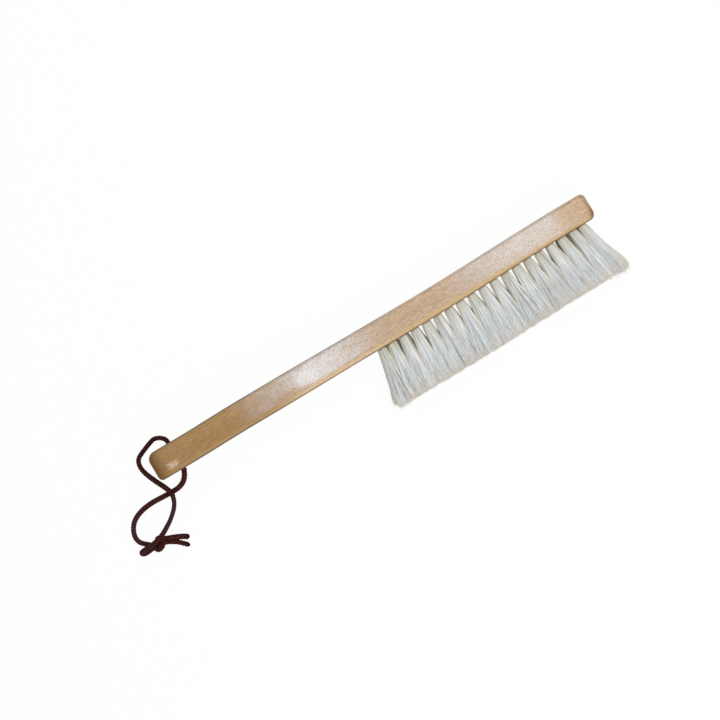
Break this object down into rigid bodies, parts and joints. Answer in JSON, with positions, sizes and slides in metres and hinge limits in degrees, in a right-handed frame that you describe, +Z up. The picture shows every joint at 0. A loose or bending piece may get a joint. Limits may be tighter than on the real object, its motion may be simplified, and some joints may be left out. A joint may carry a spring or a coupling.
{
  "type": "long-handled soft hair brush",
  "caption": "Slim wooden handle with rows of soft pale hair tufts set along one edge of its head, and a knotted hanging cord through the butt, for brushing hats and clothes.",
  "frame": {"origin": "under the middle of the handle, on the broad face that the brush lies on", "axes": "+X along the handle from the cord end to the tip, +Y away from the hair, +Z up through the handle's thickness"},
  "size_m": [0.4604, 0.0922, 0.017],
  "materials": {
    "wood": "clear gloss lacquer over pale straight-grained wood",
    "hair": "soft greyish white animal hair, trimmed straight",
    "cord": "dark maroon-brown braided cord"
  },
  "bodies": {
    "brush": {"handle": "wood", "tuft_front_01": "hair", "tuft_front_02": "hair", "tuft_front_03": "hair", "tuft_front_04": "hair", "tuft_front_05": "hair", "tuft_front_06": "hair", "tuft_front_07": "hair", "tuft_front_08": "hair", "tuft_front_09": "hair", "tuft_front_10": "hair", "tuft_front_11": "hair", "tuft_front_12": "hair", "tuft_front_13": "hair", "tuft_front_14": "hair", "tuft_front_15": "hair", "tuft_front_16": "hair", "tuft_front_17": "hair", "tuft_front_18": "hair", "tuft_front_19": "hair", "tuft_back_01": "hair", "tuft_back_02": "hair", "tuft_back_03": "hair", "tuft_back_04": "hair", "tuft_back_05": "hair", "tuft_back_06": "hair", "tuft_back_07": "hair", "tuft_back_08": "hair", "tuft_back_09": "hair", "tuft_back_10": "hair", "tuft_back_11": "hair", "tuft_back_12": "hair", "tuft_back_13": "hair", "tuft_back_14": "hair", "tuft_back_15": "hair", "tuft_back_16": "hair", "tuft_back_17": "hair", "tuft_back_18": "hair", "tuft_back_19": "hair"},
    "hanging_cord": {"cord_upper": "cord", "cord_lower": "cord", "cord_tail_upper": "cord", "cord_tail_lower": "cord", "cord_knot": "cord"}
  },
  "joints": [
    {"name": "cord_swing", "type": "hinge", "parent": "brush", "child": "hanging_cord", "pos_m": [-0.185, 0, 0.0085], "axis": [0, 1, 0], "range_deg": [-135, 160]}
  ]
}
